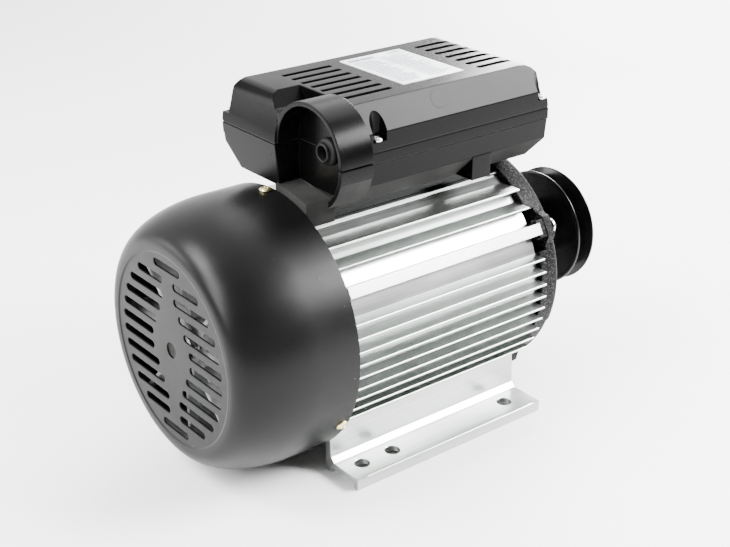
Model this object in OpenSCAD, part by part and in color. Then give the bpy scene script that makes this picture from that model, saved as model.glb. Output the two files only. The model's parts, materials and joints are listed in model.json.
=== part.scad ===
// Foot-mounted single-phase electric motor with a capacitor box and a belt pulley.
// +X runs along the shaft to the drive end, +Z is up, Y runs across the feet.
// The origin is on the floor, under the shaft, at the middle of the long foot-hole pattern.

/* [Feet] */
// Height of the shaft axis above the floor
shaft_h = 90; // [90:1:93]
// Distance between foot holes across the shaft
foot_across = 140; // [138:1:142]
// Longer distance between foot holes along the shaft
foot_long = 125; // [122:1:130]
// Shorter distance between foot holes along the shaft
foot_short = 100; // [95:1:105]
// Diameter of the foot holes
foot_hole_d = 10; // [8:0.5:11]
// Top of the foot plate
foot_top = 7.7; // [7:0.1:9]
// Half of the width over the feet
foot_half_w = 84; // [82:1:88]

/* [Housing] */
// Rear end of the finned housing
body_rear = -77; // [-78:0.5:-76]
// Front end of the finned housing
body_front = 83; // [82:0.5:84]
// Outer radius of the housing tube between the fins
tube_r = 75; // [74:0.5:76]
// Radius of the housing bore, which holds the stator core
bore_r = 67.5; // [67:0.5:68]
// Radius of the circle that the fin tips lie on
fin_tip_r = 84; // [82:0.5:85]
// Height from one lower fin to the next
fin_pitch = 8.6; // [8.2:0.1:8.8]
// Thickness of a fin at its tip
fin_tip = 1.2; // [1:0.1:1.6]
// Half width of the flat pad under the capacitor box
pad_half_w = 31.8; // [30:0.2:34]
// Height of that pad above the shaft axis
pad_h = 70; // [70:0.5:71]
// Radius to the outer face of the screw ribs
rib_r = 87; // [86:0.5:88]
// Width of a screw rib
rib_w = 7.6; // [7:0.2:9]

/* [Fan cover] */
// Outer radius of the fan cover
cover_r = 87; // [86.5:0.5:88]
// Outer face of the slotted disc
cover_end = -156; // [-158:0.5:-155]
// Where the cylinder starts to round over
cover_round = -105.4; // [-110:0.2:-100]
// Radius of the flat disc
disc_r = 66; // [64:0.5:68]
// Thickness of the pressed sheet
sheet = 1.4; // [1:0.1:1.6]
// Distance from one row of slots to the next
slot_pitch = 10; // [9.5:0.1:10.5]
// Width of a slot
slot_w = 4.8; // [4:0.1:5.5]
// Radius that the outer slot ends lie on
slot_field_r = 56.5; // [54:0.5:58]

/* [Shaft and pulley] */
// Diameter of the drive end of the shaft
drive_d = 24; // [24:1:24]
// Shoulder where the drive end starts
drive_start = 118.5; // [118:0.5:119]
// Length of the drive end
drive_len = 50; // [49:0.5:51]
// Diameter of the bearing seats
seat_d = 25; // [25:1:25]
// Outer diameter of the pulley
pulley_d = 85; // [80:1:90]
// Face of the pulley nearest the motor
pulley_near = 158; // [157:0.5:159]
// Width of the pulley rim
pulley_w = 16.5; // [16:0.5:17]
// Width of the belt groove at the rim
groove_w = 13; // [12.6:0.1:13.2]
// Depth of the belt groove
groove_deep = 12; // [11:0.5:12]

/* [Capacitor box] */
// Rear end of the box at its parting plane
box_rear = -78.4; // [-79:0.2:-78]
// Front end of the box at its parting plane
box_front = 106; // [105:0.5:107]
// Half width of the box at its parting plane
box_half_w = 53.6; // [53:0.2:54]
// Height of the parting plane between base and lid
part_z = 206.5; // [206.5:0.5:206.5]
// Height of the flat top of the lid
lid_top = 235.5; // [235:0.5:236.5]
// Wall thickness of the box mouldings
wall = 2.5; // [2.2:0.1:2.8]
// Number of grooves in each group on the lid
groove_count = 7; // [5:1:7]

/* [Hidden] */
$fn = 72;

// Screws that hold the end shields, by angle from +Y around the shaft
shield_screw_angles = [30, 150, 240, 300];
shield_screw_r = 80.5;
lug_front = 96;
m5_r = 2.5;
m4_r = 2;

// Fins: lower ones evenly spaced, two more beside the pad
fin_low_z = -45;
fin_low_count = 9;
fin_low_drop = 6.5;
fin_high_z = [54.7, 64.5];
fin_high_drop = 5.2;

// Pedestal and feet
leg_out = 57;
leg_in = 51;
leg_top_y = 54.5;
foot_plate = 3.7;
foot_lip = 4;

// Fan cover screws, by angle from +Y
cover_screw_angles = [90, 210, 330];
cover_screw_x = -83;

// Bearings, both of one size
bearing_or = 26;
bearing_w = 15;
inner_ring_or = 16.3;
outer_ring_ir = 22.2;
ball_pitch_r = 19.25;
ball_r = 3.97;
race_r = 4.03;
ball_count = 9;
front_bearing_x = 94;
rear_bearing_x = -105;

// Core and windings
core_rear = -42;
core_front = 48;
stator_ir = 36;
rotor_or = 35.65;
slot_count = 24;
slot_near_r = 39;
slot_far_r = 54;
cage_bars = 18;
cage_bar_r = 2.2;
cage_bar_pitch_r = 31;

// Shaft steps
fan_end_x = -146;
fan_seat_r = 9;
rear_journal_x = -112;
governor_r = 14;
core_seat_x = -46;
core_seat_r = 15;
drive_end_x = drive_start + drive_len;

// Key and keyway
key_w = 8;
key_bottom_r = 8;
key_top_r = 15;
key_rear = 130;
key_front = 166;

// Governor of the starting switch
collar_rear = -80;
collar_front = -62;
collar_gap = 0.06;
collar_flange_r = 24;
weight_pivot_x = -69;
weight_pivot_r = 23;
governor_plate_x = -53;
arm_pivot_r = 46;
arm_pivot_x = -81;

// Capacitor box
base_floor_z = 169.5;
rear_floor_z = 179;
chamfer_z = 185.5;
band_z = 199;
lid_break_z = 218.5;
lid_half_top = 43.5;
gasket_t = 0.8;
alcove_x = -60;
arch_y = -34;
arch_out_r = 33;
arch_in_r = 30;
arch_rear = -76;
arch_hook_y = -54;
arch_front = -52;
lid_step_x = -50;
lid_step_z = 226.5;
lid_screw_places = [[-36.8, -50.6], [100.5, -50.6], [-71, 50.6], [100.5, 50.6]];
scoop_r = 5.3;
lid_seat_z = 213;
box_screw_places = [[-44, -20], [-44, 20], [44, -20], [44, 20]];
earth_place = [56, 20];
lead_place = [62, 0];
lead_hole_r = 11;
cap_z = 197;
gland_neck_r = 7;
gland_bore_r = 4.5;

// ---- helpers -------------------------------------------------------------

// A section drawn in (y, z), run along the shaft from one x to another
module across(from, to) {
    translate([from, 0, 0]) rotate([90, 0, 90]) linear_extrude(to - from) children();
}

// An outline drawn in (x, z), run across the shaft from one y to another
module sideways(from, to) {
    translate([0, to, 0]) rotate([90, 0, 0]) linear_extrude(to - from) children();
}

// Children are placed with their +z along the shaft and their +x towards +Y
module on_axis(x) {
    translate([x, 0, shaft_h]) rotate([90, 0, 90]) children();
}

module rod(from, to, r) {
    on_axis(from) cylinder(h = to - from, r = r);
}

module ring(from, to, outer, inner) {
    on_axis(from) rotate_extrude() translate([inner, 0]) square([outer - inner, to - from]);
}

// A solid of revolution from points given as [radius, x]
module turned(points) {
    on_axis(0) rotate_extrude() polygon(points);
}

// Children are repeated around the shaft at a radius, by angle from +Y
module around(angles, radius) {
    for (a = angles) rotate([0, 0, a]) translate([radius, 0, 0]) children();
}

module upright(place, from, to, r) {
    translate([place[0], place[1], from]) cylinder(h = to - from, r = r);
}

// A pan-head screw with its shank running down from z = 0
module pan_screw(shank_r, shank_len, head_r, head_h) {
    translate([0, 0, -shank_len]) cylinder(h = shank_len, r = shank_r);
    difference() {
        intersection() {
            cylinder(h = head_h, r = head_r);
            translate([0, 0, head_h - head_r * 1.6]) sphere(r = head_r * 1.6);
        }
        for (turn = [0, 90]) {
            rotate([0, 0, turn]) translate([-head_r * 0.55, -0.5, head_h * 0.45])
                cube([head_r * 1.1, 1, head_h]);
        }
    }
}

// ---- housing and end shields ---------------------------------------------

// One sawtooth fin on the +Y side, its flat top at a height from the shaft axis
module fin(top, drop) {
    tip_y = sqrt(pow(fin_tip_r, 2) - pow(top, 2));
    low = top - drop;
    root_r = tube_r - 0.3;
    low_y = sqrt(pow(root_r, 2) - pow(low, 2));
    top_y = sqrt(pow(root_r, 2) - pow(top, 2));
    in_y = min(low_y, top_y) - 4;
    polygon([[in_y, top], [tip_y, top], [tip_y, top - fin_tip], [low_y, low], [in_y, low]]);
}

// Pedestal leg and foot on the +Y side
module leg() {
    polygon([
        [48, shaft_h - 41], [leg_top_y, shaft_h - 41], [leg_out - 0.4, foot_top + 3.5],
        [leg_out + 3, foot_top], [foot_half_w, foot_top], [foot_half_w, 0],
        [foot_half_w - foot_lip, 0], [foot_half_w - foot_lip, foot_top - foot_plate],
        [leg_out, foot_top - foot_plate], [leg_out, 0], [leg_in, 0],
        [leg_in, 30], [44, 36]
    ]);
}

// Children drawn on the +Y side and mirrored to the other, at the height of the shaft
module both_sides() {
    translate([0, shaft_h]) for (side = [0, 1]) mirror([side, 0]) children();
}

module housing_body() {
    rod(body_rear, body_front, tube_r);
    across(body_rear, body_front) both_sides() {
        for (i = [0 : fin_low_count - 1]) fin(fin_low_z + i * fin_pitch, fin_low_drop);
        for (z = fin_high_z) fin(z, fin_high_drop);
    }
    on_axis(body_rear) around(shield_screw_angles, tube_r - 4) translate([0, -rib_w / 2, 0])
        cube([rib_r - tube_r + 4, rib_w, body_front - body_rear]);
    translate([body_rear, -pad_half_w, shaft_h + pad_h - 10])
        cube([body_front - body_rear, 2 * pad_half_w, 15]);
    for (side = [0, 1]) mirror([0, side, 0]) across(body_rear, body_front) leg();
}

module foot_holes(spacing, middle) {
    for (x = [-spacing / 2, spacing / 2], y = [-foot_across / 2, foot_across / 2])
        upright([middle + x, y], -1, foot_top + 1, foot_hole_d / 2);
}

module stator_housing() {
    color("silver") difference() {
        housing_body();
        rod(body_rear - 1, body_front + 1, bore_r);
        // The crown of the tube is cut flat, level with the pad
        translate([body_rear - 1, -50, shaft_h + pad_h]) cube([body_front - body_rear + 2, 100, 20]);
        foot_holes(foot_long, 0);
        foot_holes(foot_short, (foot_long - foot_short) / 2);
        upright(lead_place, shaft_h + 50, shaft_h + 75, lead_hole_r);
        for (p = box_screw_places) upright(p, shaft_h + 65.5, shaft_h + 75, m4_r);
        upright(earth_place, shaft_h + 65.5, shaft_h + 75, m4_r);
        on_axis(body_rear - 1) around(shield_screw_angles, shield_screw_r) cylinder(h = 15, r = m5_r);
        on_axis(body_front - 14) around(shield_screw_angles, shield_screw_r) cylinder(h = 15, r = m5_r);
    }
}

module front_endshield() {
    color([0.13, 0.13, 0.13]) difference() {
        union() {
            turned([
                [bore_r, 77], [bore_r, body_front], [79.5, body_front], [79.5, 95.5],
                [78.8, 98], [77, 99.8], [74.5, 100.5], [62, 102.5], [46, 104.5], [38, 107],
                [35, 111], [34, 115], [20, 115], [20, 110], [22, 110], [22, 109],
                [bearing_or, 109], [bearing_or, 88], [33, 88], [35, 98], [60, 95],
                [62, 92], [62, 77]
            ]);
            on_axis(body_front) around(shield_screw_angles, 70) {
                translate([0, -6, 0]) cube([14, 12, 8]);
                translate([0, 0, 6.5]) linear_extrude(lug_front - body_front - 6.5) polygon([
                    [0, -11], [9.5, -11], [14.3, -6.5], [14.3, 6.5], [9.5, 11], [0, 11]
                ]);
            }
            on_axis(98) around([0 : 45 : 315], 36) translate([0, -2.2, 0]) cube([33, 4.4, 6]);
        }
        // Reliefs beside each screw lug, open to the fins
        on_axis(body_front - 1) around(shield_screw_angles, 70.5) for (side = [6.1, -14.6])
            translate([0, side, 0]) cube([15, 8.5, 7.7]);
        // Flat stepped back into the rim low down on each side
        for (side = [0, 1]) mirror([0, side, 0]) translate([95.2, 54, 22]) cube([12, 40, 40]);
        on_axis(body_front - 1) around(shield_screw_angles, shield_screw_r)
            cylinder(h = 30, r = m5_r);
        // Spot faces for the screw heads
        on_axis(lug_front - 0.1) around(shield_screw_angles, shield_screw_r)
            cylinder(h = 10, r = 5.6);
    }
}

module rear_endshield() {
    color([0.72, 0.73, 0.74]) difference() {
        union() {
            turned([
                [bore_r, -71], [bore_r, body_rear], [79.5, body_rear], [79.5, -87],
                [78, -90.2], [74, -91.5], [42, -96], [36, -99], [34, -110], [13.5, -110],
                [13.5, -107.5], [bearing_or, -107.5], [bearing_or, -86], [33, -86],
                [35, -91], [60, -88.5], [62, -86], [62, -71]
            ]);
            on_axis(-92) around(shield_screw_angles, 70) translate([0, -6, 0]) cube([15.4, 12, 14.4]);
            on_axis(-90) around(cover_screw_angles, 74) translate([0, -7, 0]) cube([11.2, 14, 12.4]);
        }
        on_axis(-93) around(shield_screw_angles, shield_screw_r) cylinder(h = 17, r = m5_r);
        on_axis(cover_screw_x) around(cover_screw_angles, 76) rotate([0, 90, 0])
            cylinder(h = 12, r = m4_r);
    }
}

module front_shield_screws() {
    color("gainsboro") on_axis(lug_front - 0.1) around(shield_screw_angles, shield_screw_r)
        pan_screw(m5_r, 26, 5.1, 3.4);
}

module rear_shield_screws() {
    color("gainsboro") on_axis(-92) around(shield_screw_angles, shield_screw_r)
        rotate([0, 180, 0]) pan_screw(m5_r, 28, 4.6, 3);
}

// ---- stator --------------------------------------------------------------

// A slot that opens to the air gap, between two radii
module slot_shape(near, far, gap) {
    half = function(r) r * tan(180 / slot_count) * 0.62 - gap;
    polygon([[near, -half(near)], [far, -half(far)], [far, half(far)], [near, half(near)]]);
}

module stator_core() {
    color("dimgray") on_axis(core_rear) linear_extrude(core_front - core_rear) difference() {
        circle(r = bore_r);
        circle(r = stator_ir);
        for (i = [0 : slot_count - 1]) rotate(i * 360 / slot_count) {
            slot_shape(slot_near_r, slot_far_r, 0);
            translate([stator_ir - 1, -1.2]) square([slot_near_r - stator_ir + 1.1, 2.4]);
        }
    }
}

// Ring of end turns with eased edges
module end_turns(from, to, outer, inner) {
    ease = 2.5;
    turned([
        [inner + ease, from], [outer - ease, from], [outer, from + ease], [outer, to - ease],
        [outer - ease, to], [inner + ease, to], [inner, to - ease], [inner, from + ease]
    ]);
}

// Slots 5 to 8 and 17 to 20 hold the starting coils, the others the main coils
function is_start_slot(i) = (i % 12 >= 4) && (i % 12 < 8);

module main_winding() {
    color("peru") {
        on_axis(core_rear - 1) linear_extrude(core_front - core_rear + 2)
            for (i = [0 : slot_count - 1]) if (!is_start_slot(i))
                rotate(i * 360 / slot_count) slot_shape(slot_near_r + 0.5, slot_far_r - 0.5, 0.5);
        end_turns(core_front + 0.2, 72, 63, 50.4);
        end_turns(-66, core_rear - 0.2, 63, 50.4);
    }
}

module start_winding() {
    color("sienna") {
        on_axis(core_rear - 2) linear_extrude(core_front - core_rear + 4)
            for (i = [0 : slot_count - 1]) if (is_start_slot(i))
                rotate(i * 360 / slot_count) slot_shape(slot_near_r + 0.5, 49.5, 0.5);
        end_turns(core_front + 1.3, 68, 50, 39.2);
        end_turns(-62, core_rear - 1.3, 50, 39.2);
    }
}

// ---- fan cover -----------------------------------------------------------

// Radius of the cover along its rounded end, for a turn of 0 at the cylinder to 90 at the disc
function cover_curve(turn, inset) = [
    disc_r + (cover_r - disc_r) * cos(turn) - inset * cos(turn),
    cover_round + (cover_end - cover_round) * sin(turn) + inset * sin(turn)
];

module cover_slot(y_from, y_to, z) {
    r = slot_w / 2;
    translate([y_from + r, z - r]) square([y_to - y_from - slot_w, slot_w]);
    for (y = [y_from + r, y_to - r]) translate([y, z]) circle(r = r);
}

module cover_slots() {
    for (i = [0 : 4], up = [-1, 1], side = [0, 1]) mirror([side, 0]) {
        row = slot_pitch * (i + 0.5);
        near = max(6, 23 - row / 2);
        cover_slot(near, sqrt(pow(slot_field_r, 2) - pow(row, 2)), up * row);
    }
    for (up = [-1, 1]) cover_slot(-14.5, 14.5, up * slot_pitch * 5.5);
    circle(r = 5);
}

module fan_cover() {
    steps = [0 : 6 : 90];
    color([0.07, 0.07, 0.07]) difference() {
        turned(concat(
            [[cover_r, body_rear - 0.4]],
            [for (t = steps) cover_curve(t, 0)],
            [[disc_r - 3, cover_end], [disc_r - 4, cover_end + 0.6], [0, cover_end + 0.6]],
            [[0, cover_end + 0.6 + sheet], [disc_r - 5, cover_end + 0.6 + sheet]],
            [for (t = steps) cover_curve(90 - t, sheet)],
            [[cover_r - sheet, body_rear - 0.4]]
        ));
        on_axis(cover_end - 1) linear_extrude(4) cover_slots();
        on_axis(cover_screw_x) around(cover_screw_angles, 80) rotate([0, 90, 0])
            cylinder(h = 10, r = m4_r + 0.3);
    }
}

module fan_cover_screws() {
    color("goldenrod") on_axis(cover_screw_x) around(cover_screw_angles, cover_r)
        rotate([0, 90, 0]) pan_screw(m4_r, 10, 3.9, 2.3);
}

// ---- bearings and seals --------------------------------------------------

module bearing_ring(x, outer, inner) {
    on_axis(x) rotate_extrude() difference() {
        translate([inner, 0]) square([outer - inner, bearing_w]);
        translate([ball_pitch_r, bearing_w / 2]) circle(r = race_r);
    }
}

module bearing_balls(x) {
    on_axis(x + bearing_w / 2) around([0 : 360 / ball_count : 359], ball_pitch_r) sphere(r = ball_r);
}

module bearing_cage(x) {
    difference() {
        ring(x + 3, x + bearing_w - 3, 20.9, 17.6);
        on_axis(x + bearing_w / 2) around([0 : 360 / ball_count : 359], 16)
            rotate([0, 90, 0]) cylinder(h = 6, r = ball_r + 0.1);
    }
}

module front_bearing_outer() {
    color("lightsteelblue") bearing_ring(front_bearing_x, bearing_or, outer_ring_ir);
}

module rear_bearing_outer() {
    color("lightsteelblue") bearing_ring(rear_bearing_x, bearing_or, outer_ring_ir);
}

module front_bearing_inner() {
    color("lightsteelblue") bearing_ring(front_bearing_x, inner_ring_or, seat_d / 2);
}

module rear_bearing_inner() {
    color("lightsteelblue") bearing_ring(rear_bearing_x, inner_ring_or, seat_d / 2);
}

module front_bearing_balls() { color("gainsboro") bearing_balls(front_bearing_x); }
module rear_bearing_balls() { color("gainsboro") bearing_balls(rear_bearing_x); }
module front_bearing_cage() { color("burlywood") bearing_cage(front_bearing_x); }
module rear_bearing_cage() { color("burlywood") bearing_cage(rear_bearing_x); }

module preload_washer() {
    color("slategray") turned([
        [23.4, -107.4], [23.4, -106.8], [24.6, -105.6], [25.8, -105.1], [25.8, -105.7],
        [24.6, -106.2]
    ]);
}

module shaft_seal() {
    color([0.2, 0.12, 0.1]) turned([
        [20, 110], [20, 115], [17.5, 115], [13.4, 113.6], [12.6, 112.4], [13.4, 111.4],
        [17, 113], [18.6, 113], [18.6, 111.2], [15, 111.2], [15, 110]
    ]);
}

// ---- starting switch -----------------------------------------------------

module switch_board() {
    color("tan") difference() {
        union() {
            intersection() {
                ring(-86, -84.4, 54, 27);
                translate([-90, -30, shaft_h]) cube([10, 60, 60]);
            }
            on_axis(-89.4) around([65, 115], 48) cylinder(h = 3.5, r = 3);
            on_axis(-84.5) around([90], 34) cylinder(h = 2, r = 2.5);
            for (y = [-7, 5]) translate([-84.5, y, shaft_h + arm_pivot_r - 3])
                cube([6, 2, 6]);
            translate([arm_pivot_x, -7, shaft_h + arm_pivot_r]) rotate([-90, 0, 0])
                cylinder(h = 14, r = 1);
        }
        on_axis(-87) around([70, 110], 40) cylinder(h = 4, r = 1.6);
    }
}

module switch_contact_arm() {
    color("gold") difference() {
        union() {
            translate([-81.5, -3.5, shaft_h + 19]) cube([0.9, 7, 26]);
            translate([arm_pivot_x, -4.5, shaft_h + arm_pivot_r]) rotate([-90, 0, 0])
                cylinder(h = 9, r = 2.2);
            on_axis(-82.4) around([90], 34) cylinder(h = 1, r = 2.2);
            on_axis(-80.7) around([90], 21) cylinder(h = 0.6, r = 2);
        }
        translate([arm_pivot_x, -6, shaft_h + arm_pivot_r]) rotate([-90, 0, 0])
            cylinder(h = 12, r = 1.06);
    }
}

module governor_plate() {
    color("gray") difference() {
        union() {
            ring(governor_plate_x, governor_plate_x + 3, 27, governor_r);
            for (up = [0, 180], y = [-8.5, 7]) on_axis(0) rotate([0, 0, up])
                translate([y, 19.6, weight_pivot_x - 3]) cube([1.5, 6.8, 19.1]);
        }
        translate([weight_pivot_x, -10, shaft_h - weight_pivot_r]) rotate([-90, 0, 0])
            cylinder(h = 20, r = 1.5);
        translate([weight_pivot_x, -10, shaft_h + weight_pivot_r]) rotate([-90, 0, 0])
            cylinder(h = 20, r = 1.5);
    }
}

module governor_pins() {
    color("gainsboro") for (up = [-1, 1])
        translate([weight_pivot_x, -9.5, shaft_h + up * weight_pivot_r]) rotate([-90, 0, 0])
            cylinder(h = 19, r = 1.5);
}

// One flyweight above the shaft: a mass towards the rotor and a finger down to the collar
module weight() {
    difference() {
        union() {
            translate([weight_pivot_x, -5, weight_pivot_r]) rotate([-90, 0, 0])
                cylinder(h = 10, r = 3.2);
            translate([weight_pivot_x, -5, 21]) cube([15, 10, 6.5]);
            translate([weight_pivot_x - 1.4, -5, 17.2]) cube([2.8, 10, 5]);
        }
        translate([weight_pivot_x, -6, weight_pivot_r]) rotate([-90, 0, 0])
            cylinder(h = 12, r = 1.56);
    }
}

module upper_weight() { color("darkgray") translate([0, 0, shaft_h]) weight(); }
module lower_weight() { color("darkgray") translate([0, 0, shaft_h]) mirror([0, 0, 1]) weight(); }

module governor_collar() {
    bore = governor_r + collar_gap;
    color("ivory") turned([
        [bore, collar_rear], [collar_flange_r, collar_rear], [collar_flange_r, collar_rear + 3],
        [16.6, collar_rear + 3], [16.6, -73.6], [18.5, -73.6], [18.5, -71.6], [16.6, -71.6],
        [16.6, -66.6], [18.5, -66.6], [18.5, -64.6], [16.6, -64.6], [16.6, collar_front],
        [bore, collar_front]
    ]);
}

// Point on the coil of the governor spring, a share t of the way along
function coil_point(t, turns, a, coil_r, wire_r, from, length) = [
    from + length * t + wire_r * sin(a),
    (coil_r + wire_r * cos(a)) * cos(360 * turns * t),
    shaft_h + (coil_r + wire_r * cos(a)) * sin(360 * turns * t)
];

module governor_spring() {
    turns = 3;
    rings = 60;
    sides = 8;
    wire_r = 0.55;
    start = collar_front + wire_r + 0.05;
    length = governor_plate_x - collar_front - 2 * wire_r - 0.1;
    points = [for (i = [0 : rings], k = [0 : sides - 1])
        coil_point(i / rings, turns, k * 360 / sides, 15.8, wire_r, start, length)];
    walls = [for (i = [0 : rings - 1], k = [0 : sides - 1]) [
        i * sides + k, i * sides + (k + 1) % sides,
        (i + 1) * sides + (k + 1) % sides, (i + 1) * sides + k
    ]];
    ends = [[for (k = [sides - 1 : -1 : 0]) k], [for (k = [0 : sides - 1]) rings * sides + k]];
    color("slategray") polyhedron(points, concat(walls, ends));
}

// ---- rotor ---------------------------------------------------------------

module shaft() {
    drive_r = drive_d / 2;
    seat_r = seat_d / 2;
    color("lightgray") difference() {
        turned([
            [0, fan_end_x], [fan_seat_r - 1, fan_end_x], [fan_seat_r, fan_end_x + 1],
            [fan_seat_r, -142.6], [8.4, -142.6], [8.4, -141.4], [fan_seat_r, -141.4],
            [fan_seat_r, rear_journal_x], [seat_r, rear_journal_x], [seat_r, -90],
            [governor_r, -90], [governor_r, core_seat_x], [core_seat_r, core_seat_x],
            [core_seat_r, front_bearing_x], [seat_r, front_bearing_x], [seat_r, drive_start],
            [drive_r, drive_start], [drive_r, drive_end_x - 1.2],
            [drive_r - 1.2, drive_end_x], [0, drive_end_x]
        ]);
        on_axis(key_rear) translate([-key_w / 2, key_bottom_r, 0])
            cube([key_w, 10, key_front - key_rear]);
        rod(drive_end_x - 22, drive_end_x + 1, 4);
        rod(fan_end_x - 1, fan_end_x + 6, 2);
    }
}

module rotor_core() {
    color("dimgray") difference() {
        ring(core_rear, core_front, rotor_or, core_seat_r);
        on_axis(core_rear - 1) around([0 : 360 / cage_bars : 359], cage_bar_pitch_r)
            cylinder(h = core_front - core_rear + 2, r = cage_bar_r);
    }
}

module rotor_cage() {
    color("silver") {
        ring(core_front, core_front + 8, 35.2, 24);
        ring(core_rear - 8, core_rear, 35.2, 24);
        on_axis(core_rear - 1) around([0 : 360 / cage_bars : 359], cage_bar_pitch_r)
            cylinder(h = core_front - core_rear + 2, r = cage_bar_r);
        for (x = [core_front + 7.5, core_rear - 13.5])
            on_axis(x) around([0 : 60 : 300], 27.5) translate([0, -1.5, 0]) cube([7, 3, 6]);
    }
}

module cooling_fan() {
    color("whitesmoke") difference() {
        union() {
            ring(-141.2, -114, 17, fan_seat_r);
            turned([[17, -120], [17, -117], [44, -116], [70, -121], [70, -123], [44, -118.5]]);
            on_axis(-141) for (a = [0 : 45 : 315]) rotate([0, 0, a])
                translate([15, -1.4, 0]) cube([13, 2.8, 23]);
            on_axis(-146) for (a = [0 : 45 : 315]) rotate([0, 0, a])
                translate([27, -1.4, 0]) cube([45, 2.8, 24.5]);
        }
        rod(-150, -110, fan_seat_r);
    }
}

module fan_circlip() {
    color("black") difference() {
        ring(-142.5, -141.5, 12.2, 8.4);
        translate([-144, -2.2, shaft_h - 14]) cube([4, 4.4, 14]);
    }
}

module pulley() {
    rim_r = pulley_d / 2;
    far = pulley_near + pulley_w;
    lip = (pulley_w - groove_w) / 2;
    slope = groove_deep * tan(17);
    color([0.06, 0.06, 0.06]) difference() {
        turned([
            [drive_d / 2, 134], [18.5, 134], [19.5, 135], [19.5, pulley_near + 0.5],
            [rim_r - 1, pulley_near], [rim_r, pulley_near + 0.6], [rim_r, pulley_near + lip],
            [rim_r - groove_deep, pulley_near + lip + slope],
            [rim_r - groove_deep, far - lip - slope],
            [rim_r, far - lip], [rim_r, far - 0.6], [rim_r - 1, far], [27.5, far],
            [26.5, pulley_near + 8], [19.5, pulley_near + 8], [18.5, 169.5],
            [drive_d / 2, 169.5]
        ]);
        on_axis(130) translate([-key_w / 2, 0, 0]) cube([key_w, key_top_r, 42]);
        on_axis(142) around([0], 8) rotate([0, 90, 0]) cylinder(h = 14, r = 3);
    }
}

module pulley_key() {
    color("darkgray") on_axis(key_rear) translate([-key_w / 2, key_bottom_r, 0])
        cube([key_w, key_top_r - key_bottom_r, key_front - key_rear]);
}

module pulley_set_screw() {
    color("black") on_axis(142) around([0], drive_d / 2) rotate([0, 90, 0]) difference() {
        cylinder(h = 7.2, r = 3);
        translate([0, 0, 4.2]) cylinder(h = 4, r = 1.7, $fn = 6);
    }
}

module pulley_washer() {
    color("gainsboro") ring(169.5, 172, 13, 4.3);
}

module pulley_bolt() {
    color("gainsboro") {
        on_axis(172) cylinder(h = 5.5, r = 7.5, $fn = 6);
        rod(151, 172.5, 4);
    }
}

// ---- capacitor box -------------------------------------------------------

// A half outline from +Y, closed by its mirror image
function with_mirror(half) = concat(half, [for (i = [len(half) - 1 : -1 : 0]) [-half[i][0], half[i][1]]]);

// Section of the base, moved inwards by a wall thickness
module base_section(t) {
    side = box_half_w - t;
    foot = box_half_w - 1 - (chamfer_z - base_floor_z);
    polygon(with_mirror([
        [side, part_z + 1], [side, band_z], [side - 0.4, band_z],
        [side - 1, chamfer_z + 0.414 * t], [foot - 0.414 * t, base_floor_z + t]
    ]));
}

// Side outline of the base, moved inwards by a wall thickness
module base_outline(t) {
    polygon([
        [box_rear + t, part_z + 1], [box_rear + 3.2 + t, rear_floor_z + t],
        [-56 + t, rear_floor_z + t], [-56 + t, base_floor_z + t],
        [box_front - 2 - t, base_floor_z + t], [box_front - t, part_z + 1]
    ]);
}

module base_body(t) {
    difference() {
        intersection() {
            across(box_rear - 1, box_front + 1) base_section(t);
            sideways(-60, 60) base_outline(t);
        }
        // The overhang behind the housing has a higher chamfer
        across(box_rear - 5, -56 + t) for (m = [0, 1]) mirror([m, 0]) polygon([
            [box_half_w - t, 194 + t], [60, 194 + t], [60, 170], [30, 170],
            [38 - t, rear_floor_z + t]
        ]);
    }
}

// Section of the lid, moved inwards by a wall thickness
module lid_section(t) {
    polygon(with_mirror([
        [box_half_w - t, part_z - 1], [box_half_w - t, lid_break_z - 0.5 * t],
        [lid_half_top - 0.6 * t, lid_top - t]
    ]));
}

// Side outline of the lid, moved inwards by a wall thickness
module lid_outline(t) {
    polygon([
        [box_rear + t, part_z - 1], [box_rear + 1 + t, 214], [box_rear + 4.2 + t, 227 - t],
        [box_rear + 5.6 + t, 231 - t], [box_rear + 8 + t, 233.9 - t],
        [box_rear + 12 + t, lid_top - t], [box_front - 19 - t, lid_top - t],
        [box_front - 14 - t, 234.9 - t], [box_front - 9.6 - t, 233 - t],
        [box_front - 6.4 - t, 229.6 - t], [box_front - 4.6 - t, 225 - t],
        [box_front - 2 - t, 214], [box_front - t, part_z - 1]
    ]);
}

module lid_body(t) {
    difference() {
        intersection() {
            across(box_rear - 1, box_front + 1) lid_section(t);
            sideways(-60, 60) lid_outline(t);
        }
        // Lowered corner beside the cable arch
        across(box_rear - 5, lid_step_x + t) polygon([
            [9 + t, lid_top + 1], [9 + t, lid_top], [t, lid_step_z - t],
            [-70, lid_step_z - t], [-70, lid_top + 1]
        ]);
    }
}

// The cable alcove at the rear corner, grown by a wall thickness
module alcove(t) {
    translate([box_rear - 6, -75, 150]) cube([alcove_x - box_rear + 6 + t, 71 + t, 90]);
}

// Arched shroud round the alcove, with its straight inner side
module arch_section() {
    difference() {
        union() {
            translate([arch_y, part_z]) circle(r = arch_out_r);
            translate([arch_y, part_z]) square([arch_in_r, lid_step_z - part_z]);
        }
        translate([arch_y, part_z]) circle(r = arch_in_r);
        translate([arch_y, 150]) square([arch_out_r + 1, part_z - 150]);
        // The ring ends in a hook on its outer side
        translate([arch_hook_y, 150]) square([80, 184 - 150]);
    }
}

module arch(low, high) {
    intersection() {
        union() {
            across(arch_rear, alcove_x + 0.1) arch_section();
            across(alcove_x, arch_front) difference() {
                translate([arch_y, part_z]) circle(r = arch_out_r);
                polygon([[-51.2, 150], [-51.2, 219.5], [-43, lid_step_z - wall],
                    [10, lid_step_z - wall], [10, 150]]);
            }
        }
        translate([-90, -80, low]) cube([50, 90, high - low]);
    }
}

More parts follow.
